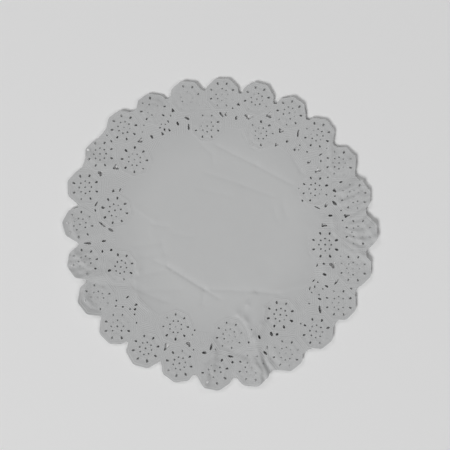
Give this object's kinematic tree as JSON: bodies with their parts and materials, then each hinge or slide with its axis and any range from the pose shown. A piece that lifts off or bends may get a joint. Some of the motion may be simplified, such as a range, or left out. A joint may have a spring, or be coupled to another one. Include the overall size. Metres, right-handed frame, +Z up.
{
  "type": "round paper lace doily",
  "caption": "Round white paper lace doily, a thin embossed sheet with a plain flat middle and a risen, scalloped lace border cut with small gaps, for under a cake or on a tray.",
  "frame": {"origin": "middle of the doily's flat underside, where it rests on the table", "axes": "+Z up out of the sheet, +Y towards the first rosette of the edge, +X to its right seen from above"},
  "size_m": [0.3053, 0.3044, 0.0076],
  "materials": {
    "white_paper": "matt, embossed"
  },
  "bodies": {
    "root": {"doily": "white_paper"}
  },
  "joints": []
}
